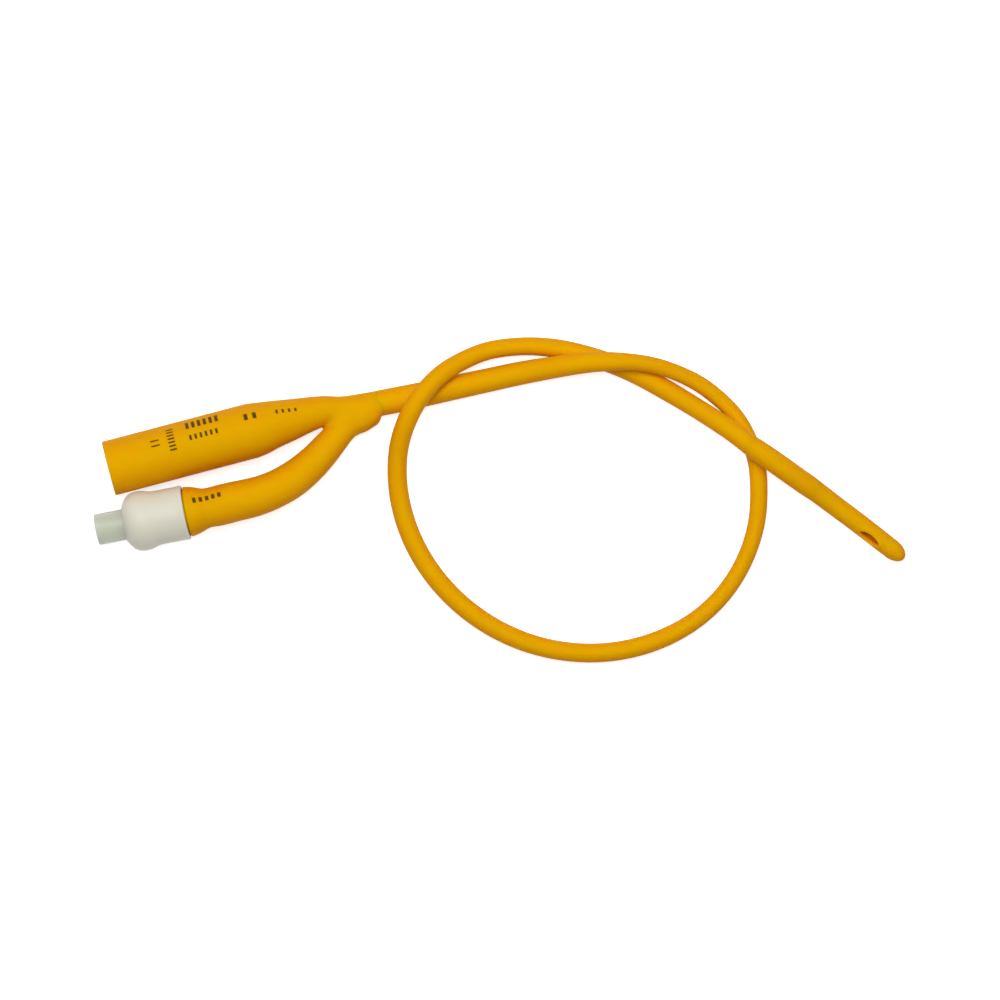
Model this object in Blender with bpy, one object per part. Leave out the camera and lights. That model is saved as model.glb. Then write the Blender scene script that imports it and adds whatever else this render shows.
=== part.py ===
"""A two-way balloon catheter lying on a table, its hose in a loose overhand loop.

All lengths are in metres. +X runs along the drainage funnel from its mouth towards the hose, +Z is up
and the table is z = 0. The model is laid out from the middle of the funnel's mouth. At the end it is
moved so that the origin is the middle of the base of the Y body with its valve.
"""

import math

import bpy
import bmesh
import numpy as np
from mathutils import Matrix, Vector

# Clearance between pieces that meet
FIT = 0.0003

# Drainage funnel: a straight cup, a cone and a throat that turns into the hose
FUNNEL_RADIUS = 0.00602
FUNNEL_LENGTH = 0.0320
MOUTH_WALL = 0.0013
THROAT_WALL = 0.0016
# Centre line and radius from the end of the cup along the cone and the throat: x, y, z, radius
THROAT_ROUTE = (
    (0.0320, 0.0, FUNNEL_RADIUS, FUNNEL_RADIUS),
    (0.0335, 0.00002, 0.00598, 0.00585),
    (0.0360, 0.00012, 0.00577, 0.00540),
    (0.0400, 0.00018, 0.00537, 0.00470),
    (0.0440, 0.00027, 0.00488, 0.00398),
    (0.0470, 0.00026, 0.00450, 0.00349),
    (0.0495, 0.00003, 0.00412, 0.00312),
    (0.0515, -0.00040, 0.00382, 0.00293),
    (0.0540, -0.00078, 0.00350, 0.00286),
    (0.0570, -0.00105, 0.00320, 0.00283),
    (0.0600, -0.00128, 0.00302, 0.00281),
)

# Inflation arm, from the end of its straight socket to the hump where it runs out: x, y, z, radius
ARM_ROUTE = (
    (0.02450, -0.01393, 0.00798, 0.00438),
    (0.02850, -0.01406, 0.00796, 0.00430),
    (0.03202, -0.01386, 0.00775, 0.00417),
    (0.03504, -0.01335, 0.00740, 0.00408),
    (0.03806, -0.01249, 0.00690, 0.00399),
    (0.04106, -0.01123, 0.00632, 0.00383),
    (0.04407, -0.00962, 0.00570, 0.00362),
    (0.04707, -0.00766, 0.00510, 0.00340),
    (0.05003, -0.00571, 0.00452, 0.00305),
    (0.05301, -0.00425, 0.00402, 0.00274),
    (0.05601, -0.00360, 0.00362, 0.00288),
    (0.05800, -0.00337, 0.00342, 0.00253),
    (0.05930, -0.00328, 0.00332, 0.00198),
    (0.06000, -0.00324, 0.00326, 0.00115),
)
# Web that fills the crotch between throat and arm: x, y, z, half width, half height
WEB_ROUTE = (
    (0.0464, -0.00355, 0.00480, 0.0006, 0.0009),
    (0.0480, -0.00345, 0.00466, 0.0015, 0.0019),
    (0.0500, -0.00315, 0.00436, 0.0018, 0.0025),
    (0.0525, -0.00265, 0.00396, 0.0017, 0.0027),
    (0.0550, -0.00235, 0.00362, 0.0014, 0.0026),
    (0.0575, -0.00225, 0.00336, 0.0009, 0.0021),
)
# How the arm widens to the sleeve's lip: distance from the lip, share of the widest radius
FLARE_RADIUS = 0.00548
FLARE_SHAPE = ((0.0, 1.0), (0.0010, 0.978), (0.0020, 0.932), (0.0031, 0.862), (0.0040, 0.805))
ELBOW_AT = 0.0062
CHANNEL_RADIUS = 0.0011
CHANNEL_END_RADIUS = 0.00045
CHANNEL_LEAD = 0.0010
# Where the inflation channel leaves the arm and runs beside the drainage bore: x, y, z
CHANNEL_ROUTE = (
    (0.0500, -0.00545, 0.00450),
    (0.0535, -0.00410, 0.00395),
    (0.0570, -0.00340, 0.00340),
    (0.0610, -0.00325, 0.00308),
)

# Valve, along its own axis from the rim of the nozzle inwards
NOZZLE_RADIUS = 0.00340
NOZZLE_LENGTH = 0.0062
RIM_BEVEL = 0.0004
LUER_RADIUS = 0.00215
LUER_TAPER = 0.06
LUER_DEPTH = 0.0075
SEAT_THICKNESS = 0.0010
SEAT_HOLE_RADIUS = 0.00105
CHAMBER_RADIUS = 0.0025
BARREL_RADIUS = 0.0032
FLANGE_RADIUS = 0.0049
FLANGE_THICKNESS = 0.0023
SPIGOT_LENGTH = 0.0019
STEM_FLANGE = 0.0012
STEM_RADIUS = 0.0021
STEM_BORE = 0.0008
BARB_RADIUS = 0.0029
BARBS_LENGTH = 0.0071
BARBS = 3
BARB_LAND = 0.3
PIN_RADIUS = 0.0006
PIN_KNOB_RADIUS = 0.00075
PIN_KNOB_LENGTH = 0.0011
PIN_REACH = 0.0039
PIN_TAIL = 0.0023
HEAD_RADIUS = 0.00175
HEAD_THICKNESS = 0.0010
SEAL_THICKNESS = 0.0006
SEAL_RADIUS = 0.0019
SPRING_LENGTH = 0.0036
SPRING_RADIUS = 0.00135
SPRING_WIRE = 0.00017
SPRING_TURNS = 4.5

# White sleeve over the valve and the end of the arm
SLEEVE_RADIUS = 0.00590
SLEEVE_LENGTH = 0.0136
SLEEVE_BORE = 0.0050
SLEEVE_FRONT_WALL = 0.0008
COLLAR_LENGTH = 0.0025
BULB_RADIUS = 0.0065
BULB_BACK = 0.00374
# Front of the bulb: share of its depth, share of its radius
BULB_FRONT = ((0.0, 0.58), (0.07, 0.655), (0.20, 0.775), (0.34, 0.865), (0.50, 0.935), (0.72, 0.985))
# Back of the bulb: distance behind its widest place, share of the step down to the waist
BULB_REAR = ((0.0010, 0.08), (0.0019, 0.42), (0.0028, 0.84), (0.0038, 1.0))
# The lip at the arm's side: distance from the end, share of the waist's radius
LIP_SHAPE = ((0.0016, 1.0), (0.0007, 1.014), (0.0002, 1.005), (0.0, 0.975))

# Valve axis: where the bulb is in plan, beside the funnel, how the axis turns and how it rises
BULB_X = 0.0040
BULB_Y = -(FUNNEL_RADIUS + BULB_RADIUS + FIT)
VALVE_YAW = math.radians(-3.6)
VALVE_RISE = math.radians(4.0)

# Where each piece starts and ends along the valve's axis, worked out from the lengths
FLANGE_START = NOZZLE_LENGTH + SLEEVE_FRONT_WALL + FIT
FLANGE_END = FLANGE_START + FLANGE_THICKNESS
BULB_AT = NOZZLE_LENGTH + BULB_BACK
ARM_START = FLANGE_END + COLLAR_LENGTH + 2.0 * FIT
SLEEVE_END = NOZZLE_LENGTH + SLEEVE_LENGTH
SEAT_FACE = LUER_DEPTH + SEAT_THICKNESS
SEAL_FRONT = SEAT_FACE + FIT
HEAD_FRONT = SEAL_FRONT + SEAL_THICKNESS + FIT
HEAD_BACK = HEAD_FRONT + HEAD_THICKNESS
SPRING_START = HEAD_BACK + FIT
SPIGOT_FRONT = SPRING_START + SPRING_LENGTH + FIT
BARREL_END = SPIGOT_FRONT + SPIGOT_LENGTH
STEM_SHOULDER = BARREL_END + FIT
BARBS_START = STEM_SHOULDER + STEM_FLANGE
STEM_END = BARBS_START + BARBS_LENGTH

# Hose: the points it was laid through, x, y, z and its outer radius there
HOSE_ROUTE = (
    (0.06500, -0.00159, 0.00293, 0.00282),
    (0.07050, -0.00187, 0.00278, 0.00275),
    (0.07720, -0.00214, 0.00272, 0.00269),
    (0.08390, -0.00246, 0.00271, 0.00262),
    (0.08990, -0.00271, 0.00275, 0.00258),
    (0.09540, -0.00310, 0.00370, 0.00249),
    (0.10110, -0.00366, 0.00550, 0.00236),
    (0.10661, -0.00434, 0.00672, 0.00226),
    (0.11121, -0.00534, 0.00697, 0.00208),
    (0.11581, -0.00666, 0.00655, 0.00182),
    (0.12053, -0.00875, 0.00522, 0.00176),
    (0.12458, -0.01140, 0.00385, 0.00176),
    (0.12901, -0.01529, 0.00255, 0.00180),
    (0.13228, -0.01954, 0.00188, 0.00177),
    (0.13479, -0.02410, 0.00176, 0.00172),
    (0.13605, -0.02911, 0.00180, 0.00179),
    (0.13640, -0.03460, 0.00190, 0.00189),
    (0.13536, -0.04062, 0.00193, 0.00192),
    (0.13350, -0.04635, 0.00189, 0.00188),
    (0.12994, -0.05261, 0.00186, 0.00184),
    (0.12399, -0.05901, 0.00189, 0.00187),
    (0.11616, -0.06383, 0.00195, 0.00193),
    (0.10642, -0.06647, 0.00204, 0.00203),
    (0.09578, -0.06644, 0.00209, 0.00207),
    (0.08566, -0.06371, 0.00210, 0.00208),
    (0.07687, -0.05884, 0.00212, 0.00211),
    (0.06910, -0.05160, 0.00217, 0.00215),
    (0.06320, -0.04240, 0.00220, 0.00217),
    (0.06000, -0.03260, 0.00225, 0.00217),
    (0.05939, -0.02320, 0.00250, 0.00214),
    (0.06049, -0.01632, 0.00370, 0.00211),
    (0.06246, -0.01098, 0.00545, 0.00213),
    (0.06502, -0.00689, 0.00730, 0.00214),
    (0.06826, -0.00326, 0.00812, 0.00213),
    (0.07211, -0.00032, 0.00767, 0.00208),
    (0.07629, 0.00182, 0.00620, 0.00205),
    (0.08090, 0.00309, 0.00440, 0.00200),
    (0.08560, 0.00369, 0.00305, 0.00198),
    (0.09038, 0.00335, 0.00225, 0.00196),
    (0.09528, 0.00233, 0.00202, 0.00197),
    (0.10061, 0.00042, 0.00208, 0.00206),
    (0.10614, -0.00243, 0.00213, 0.00211),
    (0.11156, -0.00592, 0.00218, 0.00216),
    (0.11685, -0.01004, 0.00228, 0.00225),
    (0.12177, -0.01473, 0.00236, 0.00226),
    (0.12656, -0.01964, 0.00300, 0.00219),
    (0.13021, -0.02359, 0.00420, 0.00221),
    (0.13356, -0.02743, 0.00555, 0.00223),
    (0.13635, -0.03104, 0.00645, 0.00227),
    (0.13897, -0.03412, 0.00650, 0.00236),
    (0.14140, -0.03700, 0.00590, 0.00237),
    (0.14413, -0.04028, 0.00475, 0.00237),
    (0.14725, -0.04396, 0.00345, 0.00232),
    (0.15025, -0.04776, 0.00255, 0.00225),
    (0.15370, -0.05210, 0.00228, 0.00222),
    (0.15770, -0.05730, 0.00221, 0.00219),
    (0.16210, -0.06310, 0.00216, 0.00214),
)
HOSE_POINTS = 76
HOSE_RESOLUTION = 3
BALLOON_LENGTH = 0.0172
BALLOON_WALL = 0.0004
BALLOON_RINGS = 9

# Tip: bore, rounded end and two staggered eyes, measured back from the end
TIP_LENGTH = 0.0260
TIP_BORE = 0.0013
TIP_DOME = 0.0036
TIP_STEP = 0.0016
EYE_LENGTH = 0.0050
EYE_WIDTH = 0.0021
EYE_DEPTH = 0.0012
EYE_BACK = 0.0087
EYE_LEAN = math.radians(40.0)
SECOND_EYE_BACK = 0.0162

# Facets round each kind of piece
BODY_SIDES = 32
BORE_SIDES = 24
VALVE_SIDES = 28
HOSE_SIDES = 20
WIRE_SIDES = 6
TURN_STEPS = 14
RING_STEP = 0.0017


def clear_scene():
    for obj in list(bpy.data.objects):
        bpy.data.objects.remove(obj, do_unlink=True)


def material(name, colour, roughness, transmission=0.0):
    made = bpy.data.materials.new(name)
    made.use_nodes = True
    shader = made.node_tree.nodes["Principled BSDF"]
    shader.inputs["Base Color"].default_value = (*colour, 1.0)
    shader.inputs["Roughness"].default_value = roughness
    shader.inputs["Metallic"].default_value = 0.0
    shader.inputs["Transmission Weight"].default_value = transmission
    made.diffuse_color = (*colour, 1.0)
    return made


def smooth_curve(points):
    """A cubic through rows of numbers whose first three are a place. It takes the distance run."""
    rows = np.array(points, dtype=float)
    steps = np.linalg.norm(np.diff(rows[:, :3], axis=0), axis=1)
    knots = np.concatenate(([0.0], np.cumsum(steps)))
    count = len(knots)
    system = np.eye(count)
    right = np.zeros_like(rows)
    for i in range(1, count - 1):
        system[i, i - 1] = steps[i - 1]
        system[i, i] = 2.0 * (steps[i - 1] + steps[i])
        system[i, i + 1] = steps[i]
        slope_out = (rows[i + 1] - rows[i]) / steps[i]
        slope_in = (rows[i] - rows[i - 1]) / steps[i - 1]
        right[i] = 3.0 * (slope_out - slope_in)
    bend = np.linalg.solve(system, right)

    def at(distance):
        i = int(np.clip(np.searchsorted(knots, distance) - 1, 0, count - 2))
        run = distance - knots[i]
        slope = (rows[i + 1] - rows[i]) / steps[i] - steps[i] * (2.0 * bend[i] + bend[i + 1]) / 3.0
        cube = (bend[i + 1] - bend[i]) / (3.0 * steps[i])
        return rows[i] + slope * run + bend[i] * run**2 + cube * run**3

    return at, knots[-1]


def sample(points, step):
    """Rows read from the smooth curve through the points, about one step apart."""
    at, length = smooth_curve(points)
    count = max(2, round(length / step) + 1)
    return [at(distance) for distance in np.linspace(0.0, length, count)]


def level_frames(centres):
    """For each centre, a sideways and an upward direction square to a path that runs nearly level."""
    frames = []
    for i in range(len(centres)):
        before = centres[max(i - 1, 0)]
        after = centres[min(i + 1, len(centres) - 1)]
        along = (after - before).normalized()
        side = along.cross(Vector((0.0, 0.0, 1.0))).normalized()
        frames.append((side, side.cross(along)))
    return frames


def oval(centre, side, up, half_width, half_height, sides):
    ring = []
    for k in range(sides):
        angle = 2.0 * math.pi * k / sides
        ring.append(centre + side * half_width * math.cos(angle) + up * half_height * math.sin(angle))
    return ring


def skin(rings, closed=False):
    """A mesh over rings of equally many points: capped at both ends, or joined last ring to first."""
    bm = bmesh.new()
    loops = [[bm.verts.new(point) for point in ring] for ring in rings]
    pairs = list(zip(loops, loops[1:]))
    if closed:
        pairs.append((loops[-1], loops[0]))
    else:
        bm.faces.new(loops[0])
        bm.faces.new(loops[-1])
    for first, second in pairs:
        for k in range(len(first)):
            nxt = (k + 1) % len(first)
            bm.faces.new((first[k], first[nxt], second[nxt], second[k]))
    bmesh.ops.recalc_face_normals(bm, faces=bm.faces)
    mesh = bpy.data.meshes.new("shape")
    bm.to_mesh(mesh)
    bm.free()
    return mesh


def sweep(stations, sides):
    """A solid along stations of centre, half width and half height."""
    centres = [Vector(station[0]) for station in stations]
    rings = []
    for station, centre, (side, up) in zip(stations, centres, level_frames(centres)):
        rings.append(oval(centre, side, up, station[1], station[2], sides))
    return skin(rings)


def round_stations(rows, shrink=0.0):
    return [(row[:3], row[3] - shrink, row[3] - shrink) for row in rows]


def turned(profile, sides):
    """A ring of revolution about local X from a closed loop of (distance along X, radius)."""
    side = Vector((0.0, 1.0, 0.0))
    up = Vector((0.0, 0.0, 1.0))
    rings = [oval(Vector((x, 0.0, 0.0)), side, up, radius, radius, sides) for x, radius in profile]
    return skin(rings, closed=True)


def rod(profile, sides):
    """A solid of revolution about local X from (distance along X, radius), capped at both ends."""
    side = Vector((0.0, 1.0, 0.0))
    up = Vector((0.0, 0.0, 1.0))
    rings = [oval(Vector((x, 0.0, 0.0)), side, up, radius, radius, sides) for x, radius in profile]
    return skin(rings)


def add(name, data, finish, parent):
    obj = bpy.data.objects.new(name, data)
    bpy.context.scene.collection.objects.link(obj)
    obj.parent = parent
    if finish:
        data.materials.append(finish)
    if isinstance(data, bpy.types.Mesh):
        data.shade_smooth()
        data.set_sharp_from_angle(angle=math.radians(40.0))
    return obj


def cutter(name, data, parent):
    obj = add(name, data, None, parent)
    obj.hide_render = True
    obj.display_type = "WIRE"
    return obj


def combine(obj, other, operation):
    modifier = obj.modifiers.new(other.name, "BOOLEAN")
    modifier.operation = operation
    modifier.object = other


def empty(name, parent):
    return add(name, None, None, parent)


def valve_point(distance):
    """A point on the valve's axis, that far in from the rim of the nozzle."""
    heading = Matrix.Rotation(VALVE_YAW, 3, "Z") @ Matrix.Rotation(-VALVE_RISE, 3, "Y")
    along = heading @ Vector((1.0, 0.0, 0.0))
    bulb = Vector((BULB_X, BULB_Y, BULB_RADIUS + FIT / 10.0))
    return bulb + along * (distance - BULB_AT)


def throat_rows():
    """The straight cup from the mouth on, then the cone and the throat."""
    cup_end = np.array(THROAT_ROUTE[0])
    mouth = cup_end - np.array((FUNNEL_LENGTH, 0.0, 0.0, 0.0))
    return [mouth] + sample(THROAT_ROUTE, RING_STEP)


def arm_rows():
    """The arm's straight socket end inside the sleeve, its flare and the bend to the hump."""
    inner = SLEEVE_BORE - FIT
    lip = SLEEVE_END + FIT
    socket = [(ARM_START, inner), (lip - FIT / 3.0, inner)]
    flare = [(lip + offset, FLARE_RADIUS * share) for offset, share in FLARE_SHAPE]
    rows = [np.array((*valve_point(distance), radius)) for distance, radius in socket + flare]
    elbow = (*valve_point(lip + ELBOW_AT), ARM_ROUTE[0][3])
    return rows + sample((elbow,) + ARM_ROUTE, RING_STEP)


def drainage_bore(rows):
    """The wide bore of the funnel, open at both ends, whose wall thickens towards the hose."""
    stations = []
    length = rows[-1][0] - rows[0][0]
    for row in rows:
        wall = MOUTH_WALL + (THROAT_WALL - MOUTH_WALL) * (row[0] - rows[0][0]) / length
        stations.append((row[:3], row[3] - wall, row[3] - wall))
    first = stations[0]
    last = stations[-1]
    before = (Vector(first[0]) - Vector((FIT, 0.0, 0.0)), first[1], first[2])
    after = (Vector(last[0]) + Vector((FIT, 0.0, 0.0)), last[1], last[2])
    return sweep([before] + stations + [after], BORE_SIDES)


def inflation_channel(rows):
    """The stepped socket of the barbed stem, and the channel that leads on to the hose."""
    steps = (
        (ARM_START - FIT, BARREL_RADIUS + FIT),
        (BARBS_START + FIT, BARREL_RADIUS + FIT),
        (BARBS_START + 1.5 * FIT, BARB_RADIUS + FIT),
        (STEM_END + FIT, BARB_RADIUS + FIT),
        (STEM_END + 2.0 * FIT, CHANNEL_RADIUS),
    )
    stations = [(valve_point(distance), radius, radius) for distance, radius in steps]
    socket_end = valve_point(STEM_END + CHANNEL_LEAD).x
    for row in rows:
        if socket_end < row[0] < CHANNEL_ROUTE[0][0] - RING_STEP:
            stations.append((row[:3], CHANNEL_RADIUS, CHANNEL_RADIUS))
    run = [np.array((*point, 0.0)) for point in CHANNEL_ROUTE]
    for row in run:
        share = (row[0] - run[0][0]) / (run[-1][0] - run[0][0])
        radius = CHANNEL_RADIUS + (CHANNEL_END_RADIUS - CHANNEL_RADIUS) * share
        stations.append((row[:3], radius, radius))
    return sweep(stations, BORE_SIDES // 2)


def build_body(root, latex):
    throat = throat_rows()
    arm = arm_rows()
    body = add("y_funnel", sweep(round_stations(throat), BODY_SIDES), latex, root)
    limb = cutter("arm_limb", sweep(round_stations(arm), BODY_SIDES), root)
    web = cutter("crotch_web", sweep([(row[:3], row[3], row[4]) for row in WEB_ROUTE], BORE_SIDES), root)
    bore = cutter("drainage_bore", drainage_bore(throat), root)
    channel = cutter("inflation_channel", inflation_channel(arm), root)
    combine(body, limb, "UNION")
    combine(body, web, "UNION")
    combine(body, bore, "DIFFERENCE")
    combine(body, channel, "DIFFERENCE")
    return body


def hose_course():
    """The hose from the face of the throat to the end of the tip."""
    end = THROAT_ROUTE[-1]
    start = (end[0] + FIT, end[1], end[2], end[3])
    return smooth_curve((start,) + HOSE_ROUTE)


def build_hose(root, latex, course, balloon):
    """The hose up to the far end of the balloon, under which it is necked down."""
    stations = []
    for distance in np.linspace(0.0, balloon[1], HOSE_POINTS - 1):
        row = course(distance)
        if distance > balloon[0]:
            row[3] -= BALLOON_WALL + FIT
        stations.append((distance, row))
    shoulder = course(balloon[0] - FIT / 2.0)
    neck = course(balloon[0])
    neck[3] -= BALLOON_WALL + FIT
    stations += [(balloon[0] - FIT / 2.0, shoulder), (balloon[0], neck)]
    stations.sort(key=lambda station: station[0])
    curve = bpy.data.curves.new("shaft", "CURVE")
    curve.dimensions = "3D"
    # At a depth of 1 m, each point's radius is in metres
    curve.bevel_depth = 1.0
    curve.bevel_resolution = HOSE_RESOLUTION
    curve.use_fill_caps = True
    spline = curve.splines.new("POLY")
    spline.points.add(len(stations) - 1)
    for point, (_, row) in zip(spline.points, stations):
        point.co = (*row[:3], 1.0)
        point.radius = row[3]
    return add("shaft", curve, latex, root)


def build_balloon(root, latex, course, balloon):
    """The deflated balloon: a thin sleeve that follows the hose, in two skins joined at both ends."""
    rows = [course(d) for d in np.linspace(balloon[0] + FIT, balloon[1], BALLOON_RINGS)]
    centres = [Vector(row[:3]) for row in rows]
    outer = []
    inner = []
    for row, centre, (side, up) in zip(rows, centres, level_frames(centres)):
        wide = row[3]
        fine = row[3] - BALLOON_WALL
        outer.append(oval(centre, side, up, wide, wide, HOSE_SIDES))
        inner.append(oval(centre, side, up, fine, fine, HOSE_SIDES))
    return add("balloon_sleeve", skin(outer + inner[::-1], closed=True), latex, root)


def eye_cutter(name, root, course, length, back, lean):
    """An oval through the wall of the tip, leaning from the top towards the outside of the loop."""
    row = course(length - back)
    centre = Vector(row[:3])
    before = Vector(course(length - back - TIP_STEP)[:3])
    along = (centre - before).normalized()
    side = along.cross(Vector((0.0, 0.0, 1.0))).normalized()
    up = side.cross(along)
    outward = up * math.cos(lean) + side * math.sin(lean)
    across = outward.cross(along)
    bm = bmesh.new()
    bmesh.ops.create_uvsphere(bm, u_segments=16, v_segments=10, radius=1.0)
    shape = Matrix((along, across, outward)).transposed()
    scale = Matrix.Diagonal((EYE_LENGTH / 2.0, EYE_WIDTH / 2.0, EYE_DEPTH))
    bmesh.ops.transform(bm, matrix=(shape @ scale).to_4x4(), verts=bm.verts)
    bmesh.ops.translate(bm, vec=centre + outward * row[3], verts=bm.verts)
    mesh = bpy.data.meshes.new(name)
    bm.to_mesh(mesh)
    bm.free()
    return cutter(name, mesh, root)


def build_tip(root, latex, course, length):
    """The bored end beyond the balloon, with its dome and two eyes."""
    start = length - TIP_LENGTH + FIT
    straight = length - TIP_DOME
    rows = [course(d) for d in np.linspace(start, straight, round((straight - start) / TIP_STEP))]
    stations = round_stations(rows)
    for angle in (15, 30, 45, 58, 70, 80, 86):
        turn = math.radians(angle)
        row = course(straight + TIP_DOME * math.sin(turn))
        stations.append((row[:3], row[3] * math.cos(turn), row[3] * math.cos(turn)))
    tip = add("eyed_tip", sweep(stations, HOSE_SIDES), latex, root)
    first = course(start - FIT)
    bore_rows = [first] + rows
    stations = [(row[:3], TIP_BORE, TIP_BORE) for row in bore_rows]
    for angle in (30, 60, 80):
        turn = math.radians(angle)
        row = course(straight + TIP_BORE * math.sin(turn))
        stations.append((row[:3], TIP_BORE * math.cos(turn), TIP_BORE * math.cos(turn)))
    bore = cutter("tip_bore", sweep(stations, BORE_SIDES // 2), root)
    combine(tip, bore, "DIFFERENCE")
    near_eye = eye_cutter("near_eye", root, course, length, EYE_BACK, EYE_LEAN)
    far_eye = eye_cutter("far_eye", root, course, length, SECOND_EYE_BACK, EYE_LEAN + math.pi)
    combine(tip, near_eye, "DIFFERENCE")
    combine(tip, far_eye, "DIFFERENCE")
    return tip


def build_sleeve(valve, rubber):
    """The white sleeve: bulb, waist and thin lip outside, seats for port and arm inside."""
    outside = [(NOZZLE_LENGTH, NOZZLE_RADIUS + FIT)]
    for depth, share in BULB_FRONT:
        outside.append((NOZZLE_LENGTH + BULB_BACK * depth, BULB_RADIUS * share))
    outside.append((BULB_AT, BULB_RADIUS))
    for distance, share in BULB_REAR:
        outside.append((BULB_AT + distance, BULB_RADIUS + (SLEEVE_RADIUS - BULB_RADIUS) * share))
    for distance, share in LIP_SHAPE:
        outside.append((SLEEVE_END - distance, SLEEVE_RADIUS * share))
    inside = [
        (SLEEVE_END, SLEEVE_BORE),
        (ARM_START - FIT, SLEEVE_BORE),
        (ARM_START - FIT, BARREL_RADIUS + FIT),
        (FLANGE_END + FIT, BARREL_RADIUS + FIT),
        (FLANGE_END + FIT, FLANGE_RADIUS + FIT),
        (FLANGE_START - FIT, FLANGE_RADIUS + FIT),
        (FLANGE_START - FIT, NOZZLE_RADIUS + FIT),
    ]
    return add("valve_sleeve", turned(outside + inside, VALVE_SIDES), rubber, valve)


def build_port(valve, plastic):
    """The rigid front of the valve: luer socket, seat web, chamber and holding flange."""
    luer_end = LUER_RADIUS - LUER_DEPTH * LUER_TAPER / 2.0
    profile = (
        (0.0, LUER_RADIUS),
        (0.0, NOZZLE_RADIUS - RIM_BEVEL),
        (RIM_BEVEL, NOZZLE_RADIUS),
        (FLANGE_START, NOZZLE_RADIUS),
        (FLANGE_START, FLANGE_RADIUS),
        (FLANGE_END, FLANGE_RADIUS),
        (FLANGE_END, BARREL_RADIUS),
        (BARREL_END, BARREL_RADIUS),
        (BARREL_END, CHAMBER_RADIUS),
        (SEAT_FACE, CHAMBER_RADIUS),
        (SEAT_FACE, SEAT_HOLE_RADIUS),
        (LUER_DEPTH, SEAT_HOLE_RADIUS),
        (LUER_DEPTH, luer_end),
    )
    return add("luer_port", turned(profile, VALVE_SIDES), plastic, valve)


def build_stem(valve, plastic):
    """The rigid back of the valve: spigot, flange and three barbs round one bore."""
    pitch = BARBS_LENGTH / BARBS
    spigot = CHAMBER_RADIUS - FIT
    profile = [
        (SPIGOT_FRONT, STEM_BORE),
        (SPIGOT_FRONT, spigot),
        (STEM_SHOULDER, spigot),
        (STEM_SHOULDER, BARREL_RADIUS),
        (BARBS_START, BARREL_RADIUS),
        (BARBS_START, STEM_RADIUS),
    ]
    for barb in range(BARBS):
        ridge = BARBS_START + (barb + BARB_LAND) * pitch
        profile.append((ridge, STEM_RADIUS))
        profile.append((ridge, BARB_RADIUS))
        profile.append((BARBS_START + (barb + 1) * pitch, STEM_RADIUS))
    profile.append((STEM_END, STEM_BORE))
    return add("barbed_stem", turned(profile, VALVE_SIDES), plastic, valve)


def build_plunger(valve, plastic, rubber, steel):
    """The plunger with its seal, whose origins are on the slide's axis, and the spring behind it."""
    slide = empty("plunger_axis", valve)
    slide.location = (SEAL_FRONT, 0.0, 0.0)
    head_front = HEAD_FRONT - SEAL_FRONT
    head_back = HEAD_BACK - SEAL_FRONT
    knob_back = PIN_KNOB_LENGTH - PIN_REACH
    profile = (
        (-PIN_REACH, PIN_RADIUS),
        (PIN_RADIUS / 3.0 - PIN_REACH, PIN_KNOB_RADIUS),
        (knob_back - PIN_RADIUS / 3.0, PIN_KNOB_RADIUS),
        (knob_back, PIN_RADIUS),
        (head_front, PIN_RADIUS),
        (head_front, HEAD_RADIUS),
        (head_back, HEAD_RADIUS),
        (head_back, PIN_RADIUS),
        (head_back + PIN_TAIL, PIN_RADIUS),
    )
    add("valve_plunger", rod(profile, BORE_SIDES // 2), plastic, slide)
    edge = SEAL_RADIUS - FIT / 2.0
    ring = (
        (0.0, PIN_RADIUS + FIT),
        (0.0, edge),
        (SEAL_THICKNESS / 2.0, SEAL_RADIUS),
        (SEAL_THICKNESS, edge),
        (SEAL_THICKNESS, PIN_RADIUS + FIT),
    )
    add("plunger_seal", turned(ring, BORE_SIDES), rubber, slide)
    first = SPRING_START + SPRING_WIRE
    add("valve_spring", coil(first, first + SPRING_LENGTH - 2.0 * SPRING_WIRE), steel, valve)


def coil(first, last):
    """A round wire wound about local X."""
    count = round(SPRING_TURNS * TURN_STEPS)
    climb = (last - first) / (2.0 * math.pi * SPRING_TURNS)
    rings = []
    for i in range(count + 1):
        turn = 2.0 * math.pi * SPRING_TURNS * i / count
        outward = Vector((0.0, math.cos(turn), math.sin(turn)))
        along = Vector((climb, -math.sin(turn) * SPRING_RADIUS, math.cos(turn) * SPRING_RADIUS))
        across = along.normalized().cross(outward)
        centre = outward * SPRING_RADIUS + Vector((first + climb * turn, 0.0, 0.0))
        rings.append(oval(centre, outward, across, SPRING_WIRE, SPRING_WIRE, WIRE_SIDES))
    return skin(rings)


def centre_on_base(root, pieces):
    """Moves the model so that the origin is the middle of the base of these pieces."""
    bpy.context.view_layer.update()
    corners = np.array([obj.matrix_world @ v.co for obj in pieces for v in obj.data.vertices])
    low = corners.min(axis=0)
    high = corners.max(axis=0)
    root.location = (-(low[0] + high[0]) / 2.0, -(low[1] + high[1]) / 2.0, 0.0)
    bpy.context.view_layer.update()


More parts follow.
